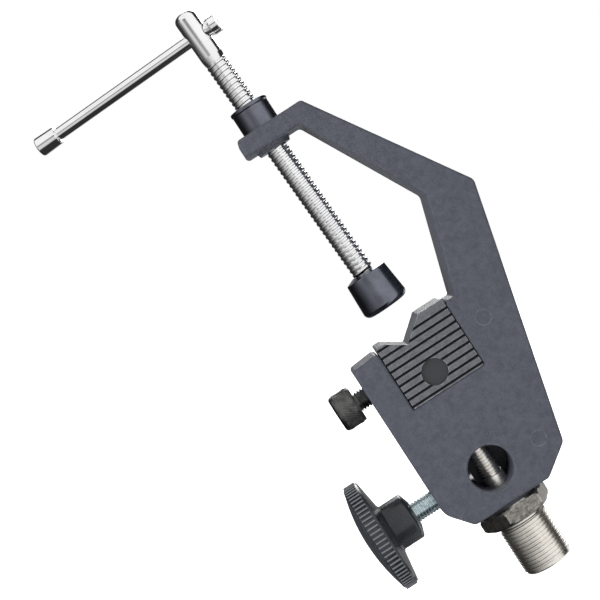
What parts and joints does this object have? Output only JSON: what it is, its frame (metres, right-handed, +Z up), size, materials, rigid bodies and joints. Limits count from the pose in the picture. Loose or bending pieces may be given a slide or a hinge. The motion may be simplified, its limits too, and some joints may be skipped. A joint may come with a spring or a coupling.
{
  "type": "super clamp",
  "caption": "C-shaped grip clamp with a screw-driven swivel pad and tommy bar, a V jaw block, a spigot socket with a hand-knob lock and a threaded stud.",
  "frame": {"origin": "middle of the spigot socket's bore line, at half the frame's thickness", "axes": "+Z up the back of the clamp to the upper jaw; +X towards the bow of the arm; the socket's mouth faces -Y"},
  "size_m": [0.1329, 0.0454, 0.2525],
  "materials": {
    "casting_paint": "satin, fine orange peel",
    "jaw_casting": "satin paint on ribbed casting",
    "black_oxide": "blackened, oiled",
    "bright_plate": "bright nickel plate",
    "nickel_stud": "satin nickel",
    "zinc_steel": "zinc plate",
    "insert_steel": "plain turned",
    "knob_plastic": "black, ribbed",
    "knob_cap_plastic": "satin grey"
  },
  "bodies": {
    "frame": {"clamp_frame": "casting_paint", "jaw_bush": "black_oxide", "lock_thread_insert": "insert_steel", "knob_thread_insert": "insert_steel", "adapter_washer": "black_oxide", "stud_adapter": "nickel_stud"},
    "pad_carrier": {"pad_ball_seat": "insert_steel"},
    "spindle": {"spindle": "bright_plate"},
    "pad": {"swivel_pad": "black_oxide", "pad_retaining_ring": "insert_steel"},
    "tommy_bar": {"tommy_bar": "bright_plate", "bar_end_long": "bright_plate", "bar_end_short": "bright_plate"},
    "knob_tip": {"knob_screw_tip": "insert_steel"},
    "knob": {"knob_grip": "knob_plastic", "knob_cap": "knob_cap_plastic", "knob_screw": "zinc_steel"},
    "lock_tip": {"lock_screw_tip": "insert_steel"},
    "lock_screw": {"lock_screw": "black_oxide"},
    "jaw_block": {"jaw_block": "jaw_casting"}
  },
  "joints": [
    {"name": "spindle_feed", "type": "slide", "parent": "frame", "child": "pad_carrier", "axis": [-0.0384, 0, 0.9993], "range_m": [-0.00702, 0.05602]},
    {"name": "spindle_spin", "type": "hinge", "parent": "pad_carrier", "child": "spindle", "pos_m": [0.0014, 0, 0.0638], "axis": [-0.0384, 0, 0.9993], "range_deg": [-1260, 10080]},
    {"name": "pad_tilt", "type": "hinge", "parent": "pad_carrier", "child": "pad", "pos_m": [0.00065, 0, 0.08329], "axis": [0, 1, 0], "range_deg": [-4, 4]},
    {"name": "bar_slide", "type": "slide", "parent": "spindle", "child": "tommy_bar", "axis": [0.9744, -0.2249, 0.0061], "range_m": [0, 0.063]},
    {"name": "knob_feed", "type": "slide", "parent": "frame", "child": "knob_tip", "axis": [1, 0, 0], "range_m": [-0.00627, 0.00252]},
    {"name": "knob_spin", "type": "hinge", "parent": "knob_tip", "child": "knob", "pos_m": [-0.03, 0, -0.0008], "axis": [1, 0, 0], "range_deg": [-1800, 720]},
    {"name": "lock_feed", "type": "slide", "parent": "frame", "child": "lock_tip", "axis": [1, 0, 0], "range_m": [-0.00752, 0]},
    {"name": "lock_spin", "type": "hinge", "parent": "lock_tip", "child": "lock_screw", "pos_m": [-0.03, 0, 0.0469], "axis": [1, 0, 0], "range_deg": [-2160, 0]},
    {"name": "block_slide", "type": "slide", "parent": "frame", "child": "jaw_block", "axis": [0, 1, 0], "range_m": [-0.03, 0.03]}
  ],
  "couplings": [
    {"joint": "spindle_feed", "follows": "spindle_spin", "m_per_rad": 0.00031831},
    {"joint": "knob_feed", "follows": "knob_spin", "m_per_rad": 0.00019894},
    {"joint": "lock_feed", "follows": "lock_spin", "m_per_rad": 0.00019894}
  ]
}
